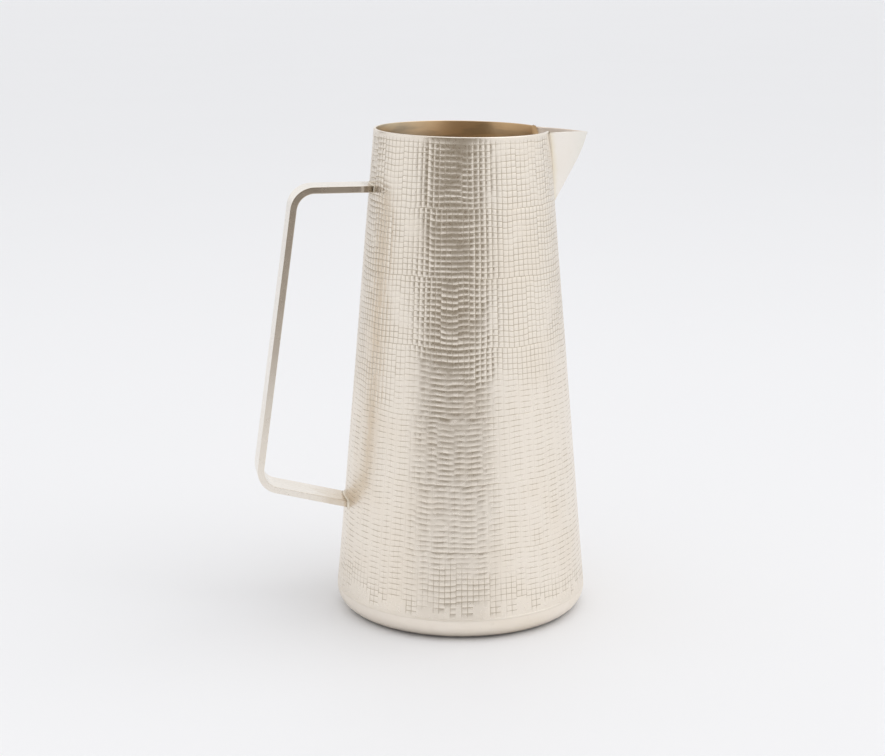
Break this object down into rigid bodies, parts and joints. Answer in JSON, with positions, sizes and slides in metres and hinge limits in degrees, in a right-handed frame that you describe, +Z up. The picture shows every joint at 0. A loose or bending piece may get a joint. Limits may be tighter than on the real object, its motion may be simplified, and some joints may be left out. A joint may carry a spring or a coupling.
{
  "type": "water pitcher",
  "caption": "Tall conical silver water pitcher with a chased grid wall, a folded V spout and a flat strap handle.",
  "frame": {"origin": "centre of the flat underside, on the table", "axes": "+Z up through the mouth; +X towards the spout; the handle is on -X; +Y is the pitcher's left side as seen from behind the handle"},
  "size_m": [0.166, 0.1256, 0.2406],
  "materials": {
    "chased_silver": "satin silver, chased by hand with a fine grid of small squares",
    "satin_silver": "plain satin silver",
    "silver_solder": "filed silver solder, a little yellower than the sheet"
  },
  "bodies": {
    "root": {"body_wall": "chased_silver", "wall_seam_solder": "silver_solder", "base_pan": "satin_silver", "base_solder": "silver_solder", "spout": "satin_silver", "spout_solder": "silver_solder", "handle": "satin_silver", "handle_upper_solder": "silver_solder", "handle_lower_solder": "silver_solder"}
  },
  "joints": []
}
